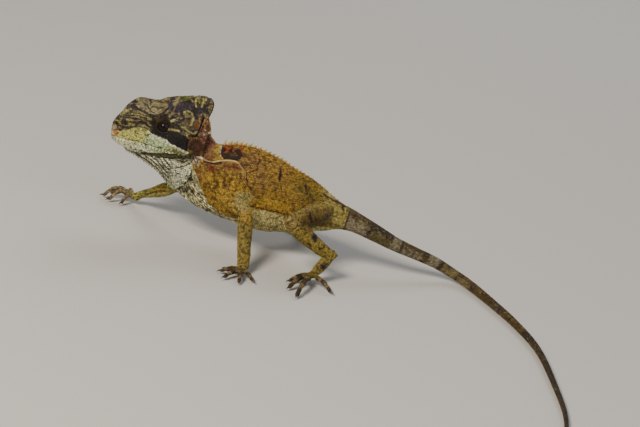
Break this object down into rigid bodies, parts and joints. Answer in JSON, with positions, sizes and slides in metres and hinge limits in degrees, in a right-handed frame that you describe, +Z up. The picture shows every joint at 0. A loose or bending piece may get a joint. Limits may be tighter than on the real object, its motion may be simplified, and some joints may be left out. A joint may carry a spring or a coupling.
{
  "type": "helmeted basilisk model",
  "caption": "Still life-size helmeted basilisk lizard that stands alert on its own feet with its chest raised and its long thin tail laid on the floor.",
  "frame": {"origin": "middle of the model's bounding box, at the floor that it stands on", "axes": "+Z up; -X towards the snout and +X towards the tail's base; -Y to the animal's left side, the way that its tail sweeps"},
  "size_m": [0.2012, 0.214, 0.0604],
  "materials": {
    "body_skin": "dry, finely keeled ochre scales",
    "helmet_skin": "dark rugose plates with a yellow-green network",
    "throat_skin": "pale grey-green keeled scales",
    "tail_skin": "grey-brown keeled scales in bands",
    "leg_skin": "olive-ochre keeled scales with dark bands",
    "eye": "wet and glossy, nearly black",
    "ear_membrane": "thin smooth membrane"
  },
  "bodies": {
    "root": {"ear_left": "ear_membrane", "ear_right": "ear_membrane", "eye_left": "eye", "eye_right": "eye", "foot_left": "leg_skin", "foot_right": "leg_skin", "forearm_left": "leg_skin", "forearm_right": "leg_skin", "hand_left": "leg_skin", "hand_right": "leg_skin", "head": "helmet_skin", "lower_jaw": "throat_skin", "neck": "body_skin", "shank_left": "leg_skin", "shank_right": "leg_skin", "tail_base": "tail_skin", "tail_middle": "tail_skin", "tail_rear": "tail_skin", "tail_tip": "tail_skin", "thigh_left": "leg_skin", "thigh_right": "leg_skin", "throat": "throat_skin", "torso": "body_skin", "upper_arm_left": "leg_skin", "upper_arm_right": "leg_skin"}
  },
  "joints": []
}
